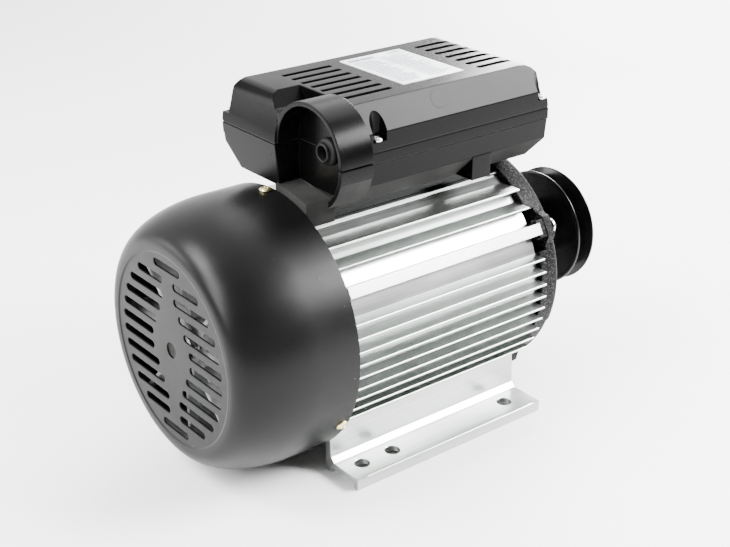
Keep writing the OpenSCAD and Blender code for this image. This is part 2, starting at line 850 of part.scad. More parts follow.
// Floor of the alcove, bowed like the housing that it sits on
module saddle() {
    across(-76.8, -55) polygon([
        [-33.2, 160.1], [-1.6, 160.1], [-1.6, 180.4], [-6, 180.3], [-14, 179.6], [-22, 178.4],
        [-28, 177.2], [-33.2, 175.8]
    ]);
}

module gland_hole() {
    translate([alcove_x - 5, arch_y, part_z]) rotate([0, 90, 0]) cylinder(h = 12, r = gland_neck_r);
}

module box_base() {
    rim = part_z - gasket_t / 2;
    color([0.1, 0.1, 0.1]) difference() {
        union() {
            difference() {
                union() {
                    difference() {
                        base_body(0);
                        alcove(0);
                    }
                    across(-52, 75) polygon([[-28, 160], [28, 160], [28, 171], [-28, 171]]);
                    // Full-depth blocks where the lower chamfer is interrupted
                    across(40, 56) for (m = [0, 1]) mirror([m, 0]) polygon([
                        [box_half_w - 0.8, chamfer_z + 0.5], [box_half_w - 0.8, 170],
                        [36, 170], [36, 173]
                    ]);
                }
                difference() {
                    base_body(wall);
                    alcove(wall);
                }
                translate([-38, -25, 159]) cube([76, 50, 8.5]);
            }
            arch(rear_floor_z, part_z);
            saddle();
            for (p = lid_screw_places) intersection() {
                upright(p, chamfer_z, rim, 4.5);
                base_body(0);
            }
        }
        translate([-90, -80, rim]) cube([220, 160, 20]);
        for (p = box_screw_places) upright(p, 150, 175, m4_r + 0.2);
        upright(earth_place, 150, 185, m4_r + 0.2);
        upright(lead_place, 150, 175, lead_hole_r);
        for (p = lid_screw_places) upright(p, chamfer_z + 3, rim + 1, m4_r);
        gland_hole();
    }
}

// Rows of shallow grooves in the top of the lid
module lid_grooves() {
    for (i = [0 : groove_count - 1], x = [[-47, -9.5], [62.5, 110]])
        translate([x[0], (i - (groove_count - 1) / 2) * 10 - 1.9, lid_top - 2])
            cube([x[1] - x[0], 3.8, 5]);
}

module box_lid() {
    rim = part_z + gasket_t / 2;
    color([0.12, 0.12, 0.12]) difference() {
        union() {
            difference() {
                lid_body(0);
                alcove(0);
                difference() {
                    intersection() {
                        lid_body(wall);
                        translate([-100, -60, 200]) cube([220, 120, lid_top - 4.5 - 200]);
                    }
                    alcove(wall);
                }
            }
            arch(part_z, 245);
            for (p = lid_screw_places) intersection() {
                upright(p, rim, lid_top, 8);
                lid_body(0);
            }
        }
        translate([-90, -80, 190]) cube([220, 160, rim - 190]);
        for (p = lid_screw_places) {
            translate([p[0], p[1] + sign(p[1]) * 1.4, lid_seat_z]) cylinder(h = 40, r = scoop_r);
            upright(p, 190, 245, m4_r + 0.2);
        }
        // The scoop at the far rear corner is open to the rear
        translate([box_rear - 2, 46.7, lid_seat_z]) cube([9.4, 12, 40]);
        lid_grooves();
        gland_hole();
    }
}

module box_gasket() {
    color([0.25, 0.25, 0.25]) difference() {
        intersection() {
            translate([-90, -80, part_z - gasket_t / 2]) cube([220, 160, gasket_t]);
            base_body(0.6);
            union() {
                difference() {
                    base_body(0);
                    base_body(wall);
                }
                alcove(wall);
                for (p = lid_screw_places) upright(p, part_z - 5, part_z + 5, 4.5);
            }
        }
        alcove(0.6);
        for (p = lid_screw_places) upright(p, 190, 245, m4_r + 0.2);
        gland_hole();
    }
}

module lid_screws() {
    color("gainsboro") for (p = lid_screw_places) translate([p[0], p[1], lid_seat_z])
        pan_screw(m4_r, 22, 3.4, 2.6);
}

module box_screws() {
    color("gainsboro") for (p = box_screw_places) translate([p[0], p[1], base_floor_z + wall])
        pan_screw(m4_r, 16, 3.7, 2.4);
}

module earth_screw() {
    color("goldenrod") translate([earth_place[0], earth_place[1], base_floor_z + wall])
        pan_screw(m4_r, 16, 4.4, 3);
}

// A can capacitor lying along the shaft with two tab terminals
module capacitor(y, from, to, r) {
    translate([from, y, cap_z]) rotate([0, 90, 0]) {
        cylinder(h = to - from - 2, r = r);
        translate([0, 0, to - from - 2]) cylinder(h = 2, r = r - 1.5);
    }
    for (side = [-7, 7]) translate([to - 0.5, y + side - 3.2, cap_z - 0.4]) cube([7, 6.4, 0.8]);
}

module start_capacitor() { color([0.08, 0.08, 0.09]) capacitor(26, -53, 33, 21); }
module run_capacitor() { color("whitesmoke") capacitor(-27, 20, 92, 20); }

module strap(y, x, r) {
    difference() {
        union() {
            translate([x, y, cap_z]) rotate([0, 90, 0]) cylinder(h = 10, r = r + 1);
            translate([x, y - 5, base_floor_z + wall]) cube([10, 10, cap_z - base_floor_z - wall - r]);
        }
        translate([x - 1, y, cap_z]) rotate([0, 90, 0]) cylinder(h = 12, r = r);
    }
}

module capacitor_straps() {
    color("gray") {
        strap(26, -10, 21);
        strap(-27, 58, 20);
    }
}

terminal_xs = [-28, -12, 4];
terminal_ys = [-33, -17];

module terminal_block() {
    color("saddlebrown") difference() {
        translate([-36, -41, base_floor_z + wall]) cube([48, 32, 9]);
        translate([-40, -28, base_floor_z + wall + 6]) cube([56, 6, 4]);
        for (x = terminal_xs, y = terminal_ys) upright([x, y], 170, 190, m4_r);
        // Clear of the chamfered corner of the base
        across(-40, 20) polygon([[-60, 150], [-60, 196.8], [-13.2, 150]]);
    }
}

module terminal_studs() {
    color("goldenrod") for (x = terminal_xs, y = terminal_ys) {
        upright([x, y], base_floor_z + wall + 2, 194, m4_r);
        translate([x, y, base_floor_z + wall + 9]) difference() {
            cylinder(h = 3.2, r = 4, $fn = 6);
            translate([0, 0, -1]) cylinder(h = 6, r = m4_r - 0.01);
        }
    }
}

module cable_gland() {
    color([0.06, 0.06, 0.06]) translate([0, arch_y, part_z]) rotate([90, 0, 90]) rotate_extrude()
        polygon([
            [gland_bore_r, -65.5], [5.6, -65.5], [6.2, -64.9], [6.2, -63.2], [8, -62.6],
            [8.6, -61.8], [8.6, alcove_x], [gland_neck_r, alcove_x],
            [gland_neck_r, alcove_x + wall],
            [8.6, alcove_x + wall], [8.6, alcove_x + 4.6], [5.2, alcove_x + 4.6],
            [5.2, alcove_x - 0.3], [gland_bore_r, alcove_x - 0.3]
        ]);
}

module lead_grommet() {
    color([0.1, 0.1, 0.1]) translate([lead_place[0], lead_place[1], 0]) rotate_extrude() polygon([
        [7.5, 157.6], [lead_hole_r, 157.6], [lead_hole_r, base_floor_z + wall],
        [13, base_floor_z + wall], [13, 174.5], [7.5, 174.5]
    ]);
}

module winding_leads() {
    color("firebrick") for (a = [0 : 72 : 359])
        upright([lead_place[0] + 4 * cos(a), lead_place[1] + 4 * sin(a)], 153.05, 184, 1.7);
}

module rating_label() {
    color("white") difference() {
        translate([0.4, -30.5, lid_top]) cube([50, 64, 0.4]);
        translate([4, -27, lid_top + 0.25]) cube([42.8, 57, 1]);
    }
}

stator_housing();
front_endshield();
rear_endshield();
front_shield_screws();
rear_shield_screws();
stator_core();
main_winding();
start_winding();
fan_cover();
fan_cover_screws();
front_bearing_outer();
rear_bearing_outer();
preload_washer();
shaft_seal();
switch_board();
switch_contact_arm();
box_base();
box_lid();
box_gasket();
lid_screws();
box_screws();
earth_screw();
start_capacitor();
run_capacitor();
capacitor_straps();
terminal_block();
terminal_studs();
cable_gland();
lead_grommet();
winding_leads();
rating_label();
shaft();
rotor_core();
rotor_cage();
cooling_fan();
fan_circlip();
front_bearing_inner();
rear_bearing_inner();
pulley();
pulley_key();
pulley_set_screw();
pulley_washer();
pulley_bolt();
governor_plate();
governor_pins();
governor_collar();
governor_spring();
upper_weight();
lower_weight();
front_bearing_balls();
front_bearing_cage();
rear_bearing_balls();
rear_bearing_cage();
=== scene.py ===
"""Looks for a foot-mounted single-phase electric motor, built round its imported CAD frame.

Everything is in metres in the row frame: +X along the shaft to the drive end, +Z up, the floor at z = 0.
"""

import json
import math
import random

import bmesh
import bpy
from mathutils import Matrix, Vector


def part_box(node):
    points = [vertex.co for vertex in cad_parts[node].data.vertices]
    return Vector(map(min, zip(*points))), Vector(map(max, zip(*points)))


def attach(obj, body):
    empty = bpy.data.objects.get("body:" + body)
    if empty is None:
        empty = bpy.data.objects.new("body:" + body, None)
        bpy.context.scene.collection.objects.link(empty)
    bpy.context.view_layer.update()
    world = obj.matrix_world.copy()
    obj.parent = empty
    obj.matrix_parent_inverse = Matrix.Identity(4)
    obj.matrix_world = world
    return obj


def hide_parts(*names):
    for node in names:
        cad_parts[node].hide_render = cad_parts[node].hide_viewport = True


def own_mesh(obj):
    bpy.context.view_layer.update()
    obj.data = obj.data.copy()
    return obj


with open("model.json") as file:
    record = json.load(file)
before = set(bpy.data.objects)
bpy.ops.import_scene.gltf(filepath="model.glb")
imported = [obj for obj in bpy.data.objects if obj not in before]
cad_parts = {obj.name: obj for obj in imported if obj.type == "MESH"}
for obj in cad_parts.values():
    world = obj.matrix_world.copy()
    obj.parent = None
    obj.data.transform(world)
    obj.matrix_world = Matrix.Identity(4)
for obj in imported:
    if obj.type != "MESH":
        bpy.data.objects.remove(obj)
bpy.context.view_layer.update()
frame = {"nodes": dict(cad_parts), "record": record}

MM = 0.001
NODES = frame["nodes"]
RECORD = frame["record"]
BODY_OF = {n: body for body, members in RECORD["behaviour"]["bodies"].items() for n in members}
SLOT_OF = {s["node"]: s["material_slot"] for s in RECORD["subparts"]}

# Places read from the frame
LABEL_LOW, LABEL_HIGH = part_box("rating_label")
BASE_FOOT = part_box("box_base")[0].z
LID_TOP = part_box("box_lid")[1].z
FOOT_EDGE_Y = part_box("stator_housing")[1].y

# The camera, with its turn as azimuth, elevation and roll in degrees
CAMERA_PLACE = (-0.5132, -0.6311, 0.4729)
CAMERA_TURN = (-38.87, 24.79, 0.32)
CAMERA_LENS = 65.8
SENSOR_WIDTH = 36
NEAR_CLIP = 0.02

# The studio: its grey grows along an axis, from the first value to the second
FLOOR_R = 6
SKY_AXIS = (0.45, 0.75, 0.48)
SKY_GREYS = (0.12, 2.8)

# The lights: a broad sun, and rectangles that face the motor's middle (place, width and height, watts)
MOTOR_MIDDLE = Vector((0, 0, 0.12))
SUN_TOWARD = (0.85, 0.45, 1)
SUN_ANGLE = 45
SUN_STRENGTH = 3.0
AREA_LIGHTS = {
    "right_box": ((0.89, -0.69, 0.88), (0.8, 0.5), 92),
    "left_box": ((-1.15, -0.12, 0.86), (0.5, 0.8), 34),
    "high_box": ((-0.78, 0.3, 1.02), (0.45, 0.45), 28),
    "far_box": ((-1.15, 1.05, 0.42), (0.6, 0.45), 12),
    "back_box": ((1.65, 1.1, 0.66), (0.7, 0.6), 62),
}

# A noise texture's values lie mostly between these
NOISE_LOW = 0.3
NOISE_HIGH = 0.7

# Points closer than this are one point, and places closer than the second one are the same place
MERGE_WITHIN = 0.002 * MM
SAME_PLACE = 0.05 * MM

# In degrees: edges sharper than the first are rounded, and edges sharper than the second are shaded as edges
ROUND_ABOVE = 25
CREASE_ABOVE = 35

# How much more large faces count than small ones in the shading, out of 100
FLAT_FACE_WEIGHT = 80

# The foot plate: its upper face's height, the radius along its outer edges, and how long they are at least
FOOT_TOP = 7.7 * MM
FOOT_EDGE_R = 1.1 * MM
FOOT_EDGE_LENGTH = 100 * MM

# The radius of the housing's other edges
HOUSING_EDGE_R = 0.22 * MM

# A normal whose z is under this looks down
LOOKS_DOWN = -0.3

# The cable alcove's floor rises this far above the base's lowest point, and ends here towards the drive end
ALCOVE_FLOOR_RISE = 21.5 * MM
ALCOVE_END = -54 * MM

# The lid's round witness mark: its place along the shaft, its drop below the lid's top, and its shape
MARK_X = 14 * MM
MARK_DROP = 11 * MM
MARK_FOOT_R = 6.2 * MM
MARK_TOP_R = 5.9 * MM
MARK_DEPTH = 0.16 * MM
MARK_CREASE = 8

# The label's print: how far it stands up, its margin, and where its mark ends and its heading begins
PRINT_RISE = 0.03 * MM
PRINT_MARGIN = 3 * MM
MARK_END = 24 * MM
HEADING_START = 37 * MM

# Its lines: the drop below the label's upper edge, the height, and the gap between strokes
MARK_LINE = (6.5 * MM, 2.6 * MM, 0.7 * MM)
HEADING_LINE = (4.5 * MM, 1.2 * MM, 0.5 * MM)
FIRST_TEXT_LINE = (12 * MM, 1.0 * MM, 0.5 * MM)

# The rule across: its drop, its height and how far in from each side it ends
RULE = (8.6 * MM, 0.25 * MM, 2 * MM)

# The text: the step from line to line, the lowest place for one, and the gap to the second column
TEXT_PITCH = 3.1 * MM
TEXT_END = 4 * MM
COLUMN_GAP = 1 * MM

# Random ranges in mm: a stroke's width, and how far short of its column's end a line stops, left and right
STROKE_WIDTH = (1.2, 4.5)
LEFT_SHORT = (2, 8)
RIGHT_SHORT = (3, 10)


# ---- camera and light ------------------------------------------------------


def look_matrix(place, azimuth, elevation, roll):
    """The matrix of a camera that stands at a place and sees the motor from an azimuth and elevation."""
    a, e, r = (math.radians(v) for v in (azimuth, elevation, roll))
    back = Vector((math.sin(a) * math.cos(e), -math.cos(a) * math.cos(e), math.sin(e)))
    right = (-back).cross(Vector((0, 0, 1))).normalized()
    up = right.cross(-back)
    turned_right = math.cos(r) * right + math.sin(r) * up
    turned_up = -math.sin(r) * right + math.cos(r) * up
    turn = Matrix((turned_right, turned_up, back)).transposed().to_4x4()
    return Matrix.Translation(place) @ turn


def make_camera():
    data = bpy.data.cameras.new("camera")
    data.sensor_width = SENSOR_WIDTH
    data.lens = CAMERA_LENS
    data.clip_start = NEAR_CLIP
    camera = bpy.data.objects.new("camera", data)
    camera.matrix_world = look_matrix(CAMERA_PLACE, *CAMERA_TURN)
    bpy.context.scene.collection.objects.link(camera)
    bpy.context.scene.camera = camera


def area_light(name, place, size, power):
    """A rectangular light that faces the motor's middle."""
    data = bpy.data.lights.new(name, "AREA")
    data.shape = "RECTANGLE"
    data.size, data.size_y = size
    data.energy = power
    light = bpy.data.objects.new(name, data)
    light.location = place
    aim = MOTOR_MIDDLE - Vector(place)
    light.rotation_euler = aim.to_track_quat("-Z", "Y").to_euler()
    bpy.context.scene.collection.objects.link(light)


def make_stage():
    bm = bmesh.new()
    bmesh.ops.create_circle(bm, cap_ends=True, segments=96, radius=FLOOR_R)
    floor = new_object("floor", mesh_from(bm, "floor"))
    floor.data.materials.append(floor_material())


def make_world():
    """A grey studio, brightest high up behind the motor's drive end and darkest on the camera's side."""
    world = bpy.data.worlds.new("studio")
    world.use_nodes = True
    tree = world.node_tree
    background = tree.nodes["Background"]
    place = tree.nodes.new("ShaderNodeTexCoord")
    axis = tree.nodes.new("ShaderNodeVectorMath")
    axis.operation = "DOT_PRODUCT"
    axis.inputs[1].default_value = SKY_AXIS
    ramp = tree.nodes.new("ShaderNodeValToRGB")
    for element, grey in zip(ramp.color_ramp.elements, SKY_GREYS):
        element.color = (grey, grey, grey, 1)
    tree.links.new(place.outputs["Generated"], axis.inputs[0])
    tree.links.new(axis.outputs["Value"], ramp.inputs["Fac"])
    tree.links.new(ramp.outputs["Color"], background.inputs["Color"])
    bpy.context.scene.world = world


def sky_light(name, toward, angle, strength):
    """A broad soft light from far away in a direction."""
    data = bpy.data.lights.new(name, "SUN")
    data.angle = math.radians(angle)
    data.energy = strength
    light = bpy.data.objects.new(name, data)
    light.rotation_euler = Vector(toward).to_track_quat("Z", "Y").to_euler()
    bpy.context.scene.collection.objects.link(light)


def make_lights():
    sky_light("overhead", SUN_TOWARD, SUN_ANGLE, SUN_STRENGTH)
    for name, (place, size, power) in AREA_LIGHTS.items():
        area_light(name, place, size, power)


# ---- materials -------------------------------------------------------------


class Paint:
    """A node material under construction: one Principled shader, with textures in object coordinates.

    Its plain colour and roughness are for viewers that don't show the textures.
    """

    def __init__(self, name, colour, roughness, metallic=0.0):
        self.material = bpy.data.materials.new(name)
        self.material.use_nodes = True
        self.material.diffuse_color = (*colour, 1)
        self.tree = self.material.node_tree
        self.shader = self.tree.nodes["Principled BSDF"]
        self.set("Base Color", (*colour, 1))
        self.set("Roughness", roughness)
        self.set("Metallic", metallic)
        self.relief = None

    def set(self, socket, value):
        self.shader.inputs[socket].default_value = value

    def shine(self, level):
        """Sets how strongly a non-metal reflects, and gives the paint back."""
        self.set("Specular IOR Level", level)
        return self

    def node(self, kind, **inputs):
        made = self.tree.nodes.new(kind)
        for socket, value in inputs.items():
            made.inputs[socket].default_value = value
        return made

    def link(self, start, end):
        self.tree.links.new(start, end)

    def place(self, stretch=(1, 1, 1)):
        """Object coordinates in metres, scaled along each axis."""
        coordinates = self.node("ShaderNodeTexCoord")
        mapping = self.node("ShaderNodeMapping")
        mapping.inputs["Scale"].default_value = stretch
        self.link(coordinates.outputs["Object"], mapping.inputs["Vector"])
        return mapping.outputs["Vector"]

    def noise(self, scale, detail=3.0, rough=0.5, stretch=(1, 1, 1)):
        made = self.node("ShaderNodeTexNoise", Scale=scale, Detail=detail, Roughness=rough)
        self.link(self.place(stretch), made.inputs["Vector"])
        return made.outputs["Fac"]

    def cells(self, scale):
        """How far each place is from the nearest of many scattered points."""
        made = self.node("ShaderNodeTexVoronoi", Scale=scale)
        self.link(self.place(), made.inputs["Vector"])
        return made.outputs["Distance"]

    def ramp(self, value, stops):
        """A colour ramp from (place, colour) stops, where a colour may be one grey number."""
        made = self.node("ShaderNodeValToRGB")
        elements = made.color_ramp.elements
        while len(elements) < len(stops):
            elements.new(0.5)
        for element, (where, colour) in zip(elements, stops):
            element.position = where
            rgb = colour if isinstance(colour, tuple) else (colour,) * 3
            element.color = (*rgb, 1)
        self.link(value, made.inputs["Fac"])
        return made.outputs["Color"]

    def multiplied(self, first, second):
        """Two colours multiplied. The mix node has many sockets with one name, so they go by number."""
        factor, colour_a, colour_b, result = 0, 6, 7, 2
        made = self.node("ShaderNodeMix")
        made.data_type = "RGBA"
        made.blend_type = "MULTIPLY"
        made.inputs[factor].default_value = 1
        self.link(first, made.inputs[colour_a])
        self.link(second, made.inputs[colour_b])
        return made.outputs[result]

    def colour(self, output):
        self.link(output, self.shader.inputs["Base Color"])

    def roughness(self, value, low, high):
        """Roughness that follows a texture between two values."""
        made = self.node("ShaderNodeMapRange")
        made.inputs["From Min"].default_value = NOISE_LOW
        made.inputs["From Max"].default_value = NOISE_HIGH
        made.inputs["To Min"].default_value = low
        made.inputs["To Max"].default_value = high
        self.link(value, made.inputs["Value"])
        self.link(made.outputs["Result"], self.shader.inputs["Roughness"])

    def bump(self, value, depth, strength=1.0):
        """Adds relief of a depth in metres on top of any that is there."""
        made = self.node("ShaderNodeBump", Strength=strength, Distance=depth)
        self.link(value, made.inputs["Height"])
        if self.relief is not None:
            self.link(self.relief, made.inputs["Normal"])
        self.relief = made.outputs["Normal"]
        self.link(self.relief, self.shader.inputs["Normal"])


def floor_material():
    paint = Paint("pale_floor", (0.9, 0.9, 0.9), 0.6)
    paint.roughness(paint.noise(3), 0.55, 0.65)
    return paint.material


def extruded_aluminium():
    paint = Paint("extruded_aluminium", (0.75, 0.76, 0.76), 0.34, 1.0)
    die_lines = paint.noise(1, 4, 0.65, (5, 1100, 1100))
    clouds = paint.noise(28, 3, 0.6, (0.5, 1, 1))
    tone = paint.ramp(die_lines, [(0.25, (0.37, 0.385, 0.375)), (0.75, (0.53, 0.545, 0.535))])
    stain = paint.ramp(clouds, [(0.3, (0.9, 0.91, 0.9)), (0.7, 1)])
    paint.colour(paint.multiplied(tone, stain))
    paint.roughness(clouds, 0.28, 0.38)
    paint.bump(die_lines, 0.015 * MM, 0.4)
    return paint.material


def cover_paint():
    paint = Paint("cover_paint", (0.003, 0.003, 0.003), 0.34).shine(0.14)
    peel = paint.noise(420, 2, 0.5)
    film = paint.noise(18, 4, 0.6)
    dust = paint.ramp(paint.cells(75), [(0.0, 0.08), (0.05, 0.003)])
    paint.colour(dust)
    paint.roughness(film, 0.30, 0.42)
    paint.bump(peel, 0.03 * MM, 0.35)
    return paint.material


def black_casting():
    paint = Paint("black_casting", (0.006, 0.006, 0.006), 0.6).shine(0.06)
    grit_and_glints = paint.noise(900, 2, 0.6)
    lumps = paint.noise(300, 3, 0.6)
    # The light specks in the colour are painted glints; the same noise also gives the casting its real rough
    # relief and smoother grains
    paint.colour(paint.ramp(grit_and_glints, [(0.5, 0.001), (0.66, 0.032)]))
    paint.roughness(grit_and_glints, 0.6, 0.3)
    paint.bump(lumps, 0.4 * MM, 0.7)
    paint.bump(grit_and_glints, 0.25 * MM, 0.8)
    return paint.material


def pulley_paint():
    paint = Paint("pulley_paint", (0.003, 0.003, 0.003), 0.2).shine(0.2)
    paint.set("Coat Weight", 0.12)
    paint.set("Coat Roughness", 0.12)
    turning = paint.noise(1, 3, 0.6, (2600, 60, 60))
    film = paint.noise(90, 3, 0.5)
    paint.colour(paint.ramp(film, [(0.3, 0.002), (0.75, 0.004)]))
    paint.roughness(film, 0.18, 0.24)
    paint.bump(turning, 0.02 * MM, 0.4)
    return paint.material


def bare_casting():
    paint = Paint("bare_casting", (0.62, 0.63, 0.64), 0.42, 0.9)
    grain = paint.noise(260, 4, 0.65)
    paint.colour(paint.ramp(grain, [(0.3, (0.46, 0.47, 0.48)), (0.7, (0.72, 0.73, 0.74))]))
    paint.roughness(grain, 0.34, 0.55)
    paint.bump(grain, 0.12 * MM, 0.6)
    return paint.material


def black_moulding():
    paint = Paint("black_moulding", (0.001, 0.001, 0.001), 0.36).shine(0.06)
    grain = paint.noise(1500, 2, 0.5)
    scuffs = paint.noise(9, 5, 0.7)
    paint.colour(paint.ramp(scuffs, [(0.3, 0.0005), (0.75, 0.0018)]))
    paint.roughness(scuffs, 0.21, 0.29)
    paint.bump(grain, 0.035 * MM, 0.5)
    return paint.material


def dull_painted_fill_moulding():
    """The same plastic with a matte finish, painted much lighter than black_moulding as painted fill light
    for faces that the lamps leave in shade.
    """
    paint = Paint("dull_painted_fill_moulding", (0.02, 0.02, 0.02), 0.62).shine(0.02)
    grain = paint.noise(700, 3, 0.6)
    clouds = paint.noise(30, 4, 0.6)
    paint.colour(paint.ramp(clouds, [(0.3, 0.014), (0.75, (0.032, 0.032, 0.031))]))
    paint.roughness(clouds, 0.55, 0.7)
    paint.bump(grain, 0.05 * MM, 0.5)
    return paint.material


def fan_moulding():
    paint = Paint("fan_moulding", (0.36, 0.37, 0.37), 0.5)
    dust = paint.noise(60, 4, 0.6)
    # The grey is kept dark as painted shade for the fan's place inside the cover; the dust noise mottles it
    paint.colour(paint.ramp(dust, [(0.3, (0.2, 0.2, 0.19)), (0.7, (0.42, 0.43, 0.42))]))
    paint.roughness(dust, 0.42, 0.6)
    paint.bump(paint.noise(900, 2), 0.03 * MM, 0.4)
    return paint.material


def rubber_black():
    paint = Paint("rubber_black", (0.006, 0.006, 0.006), 0.5).shine(0.12)
    bloom = paint.noise(120, 4, 0.6)
    paint.colour(paint.ramp(bloom, [(0.3, 0.003), (0.75, 0.011)]))
    paint.roughness(bloom, 0.4, 0.6)
    paint.bump(paint.noise(1400, 2), 0.05 * MM, 0.4)
    return paint.material


def halfway(low, high):
    return tuple((a + b) / 2 for a, b in zip(low, high))


def turned_metal(name, low, high, smooth, rough):
    """Ground or turned metal with fine marks round one axis, between two colours and two roughnesses."""
    paint = Paint(name, halfway(low, high), (smooth + rough) / 2, 1.0)
    marks = paint.noise(1, 3, 0.6, (1800, 60, 60))
    haze = paint.noise(140, 3, 0.5)
    paint.colour(paint.ramp(haze, [(0.3, low), (0.7, high)]))
    paint.roughness(haze, smooth, rough)
    paint.bump(marks, 0.012 * MM, 0.5)
    return paint.material


def yellow_screws():
    paint = Paint("yellow_screws", (0.8, 0.7, 0.4), 0.28, 1.0)
    film = paint.noise(380, 3, 0.6)
    stops = [(0.3, (0.90, 0.80, 0.50)), (0.5, (0.84, 0.70, 0.34)), (0.7, (0.72, 0.72, 0.44))]
    paint.colour(paint.ramp(film, stops))
    paint.roughness(film, 0.22, 0.4)
    paint.bump(paint.noise(1600, 2), 0.012 * MM, 0.4)
    return paint.material


def core_steel():
    paint = Paint("core_steel", (0.2, 0.2, 0.21), 0.5, 0.8)
    sheets = paint.noise(1, 2, 0.5, (2200, 2, 2))
    paint.colour(paint.ramp(sheets, [(0.35, (0.11, 0.11, 0.12)), (0.65, (0.28, 0.28, 0.29))]))
    paint.roughness(sheets, 0.4, 0.6)
    paint.bump(sheets, 0.1 * MM, 0.8)
    return paint.material


def copper_coils():
    paint = Paint("copper_coils", (0.55, 0.22, 0.09), 0.35, 0.8)
    wires = paint.noise(1, 2, 0.5, (900, 120, 120))
    varnish = paint.noise(55, 3, 0.5)
    copper = paint.ramp(wires, [(0.35, (0.30, 0.10, 0.04)), (0.65, (0.66, 0.30, 0.13))])
    amber = paint.ramp(varnish, [(0.3, (0.8, 0.62, 0.5)), (0.7, 1)])
    paint.colour(paint.multiplied(copper, amber))
    paint.roughness(varnish, 0.25, 0.5)
    paint.bump(wires, 0.35 * MM, 0.8)
    return paint.material


def moulded(name, low, high, smooth, rough, grain):
    """Plain moulded plastic with fine grain, which drifts between two colours and two roughnesses."""
    paint = Paint(name, halfway(low, high), (smooth + rough) / 2)
    clouds = paint.noise(45, 4, 0.6)
    paint.colour(paint.ramp(clouds, [(0.3, low), (0.7, high)]))
    paint.roughness(clouds, smooth, rough)
    paint.bump(paint.noise(grain, 2), 0.03 * MM, 0.4)
    return paint.material


def label_foil():
    paint = Paint("label_foil", (0.78, 0.80, 0.83), 0.32, 0.35)
    brushed = paint.noise(1, 3, 0.6, (40, 2200, 40))
    clouds = paint.noise(70, 4, 0.6)
    paint.colour(paint.ramp(clouds, [(0.3, (0.70, 0.72, 0.76)), (0.7, (0.86, 0.88, 0.91))]))
    paint.roughness(clouds, 0.26, 0.4)
    paint.bump(brushed, 0.01 * MM, 0.4)
    return paint.material


def label_ink():
    paint = Paint("label_ink", (0.06, 0.07, 0.09), 0.5)
    wear = paint.noise(700, 3, 0.6)
    paint.colour(paint.ramp(wear, [(0.35, (0.03, 0.035, 0.05)), (0.75, (0.20, 0.21, 0.24))]))
    paint.roughness(wear, 0.4, 0.6)
    return paint.material


# Slot to the two colours and two roughnesses that a turned metal lies between
TURNED_METALS = {
    "machined_steel": ((0.50, 0.50, 0.51), (0.66, 0.66, 0.67), 0.2, 0.34),
    "bright_screws": ((0.66, 0.67, 0.69), (0.82, 0.83, 0.85), 0.16, 0.3),
    "bearing_steel": ((0.62, 0.62, 0.64), (0.74, 0.74, 0.76), 0.08, 0.16),
    "spring_steel": ((0.20, 0.20, 0.22), (0.34, 0.35, 0.37), 0.25, 0.4),
    "flyweight_zinc": ((0.42, 0.43, 0.45), (0.58, 0.59, 0.61), 0.34, 0.5),
    "brass_contacts": ((0.70, 0.50, 0.20), (0.84, 0.66, 0.32), 0.2, 0.34),
}

# The same for moulded plastics, and how fine the grain is
MOULDINGS = {
    "nylon": ((0.74, 0.70, 0.58), (0.84, 0.81, 0.70), 0.4, 0.55, 900),
    "phenolic": ((0.16, 0.08, 0.04), (0.26, 0.14, 0.08), 0.35, 0.5, 900),
    "capacitor_black": ((0.02, 0.02, 0.022), (0.035, 0.035, 0.04), 0.14, 0.26, 300),
    "capacitor_white": ((0.74, 0.74, 0.71), (0.82, 0.82, 0.80), 0.2, 0.34, 300),
    "lead_sleeving": ((0.34, 0.03, 0.025), (0.48, 0.05, 0.04), 0.4, 0.55, 900),
}

MATERIALS = {
    "extruded_aluminium": extruded_aluminium(),
    "cover_paint": cover_paint(),
    "black_casting": black_casting(),
    "pulley_paint": pulley_paint(),
    "bare_casting": bare_casting(),
    "black_moulding": black_moulding(),
    "fan_moulding": fan_moulding(),
    "rubber_black": rubber_black(),
    "yellow_screws": yellow_screws(),
    "core_steel": core_steel(),
    "copper_coils": copper_coils(),
    "label_foil": label_foil(),
}
for slot, look in TURNED_METALS.items():
    MATERIALS[slot] = turned_metal(slot, *look)
for slot, look in MOULDINGS.items():
    MATERIALS[slot] = moulded(slot, *look)
INK = label_ink()
DULL_PAINTED_FILL = dull_painted_fill_moulding()


# ---- pieces ----------------------------------------------------------------


def new_object(name, mesh):
    piece = bpy.data.objects.new(name, mesh)
    bpy.context.scene.collection.objects.link(piece)
    return piece


def stand_for(piece, node):
    """Gives a new piece the material of its node's slot and its node's body, and hides the node."""
    piece.data.materials.clear()
    piece.data.materials.append(MATERIALS[SLOT_OF[node]])
    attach(piece, BODY_OF[node])
    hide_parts(node)


def add_to(piece, node, material):
    """Gives a piece that stands for nothing a material, and the body of the node it lies on."""
    piece.data.materials.append(material)
    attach(piece, BODY_OF[node])


def mesh_from(bm, name):
    """Turns a bmesh into a mesh, and frees it."""
    mesh = bpy.data.meshes.new(name)
    bm.to_mesh(mesh)
    bm.free()
    return mesh


def apply_modifiers(piece):
    bpy.context.view_layer.update()
    graph = bpy.context.evaluated_depsgraph_get()
    mesh = bpy.data.meshes.new_from_object(piece.evaluated_get(graph))
    piece.modifiers.clear()
    piece.data = mesh


def shade(piece, crease_above=CREASE_ABOVE):
    """Smooth shading that stays crisp at edges sharper than an angle, with flat faces kept flat."""
    bm = bmesh.new()
    bm.from_mesh(piece.data)
    limit = math.radians(crease_above)
    for face in bm.faces:
        face.smooth = True
    for edge in bm.edges:
        edge.smooth = edge.is_manifold and edge.calc_face_angle(0) < limit
    bm.to_mesh(piece.data)
    bm.free()
    weigh = piece.modifiers.new("weigh", "WEIGHTED_NORMAL")
    weigh.keep_sharp = True
    weigh.weight = FLAT_FACE_WEIGHT
    apply_modifiers(piece)


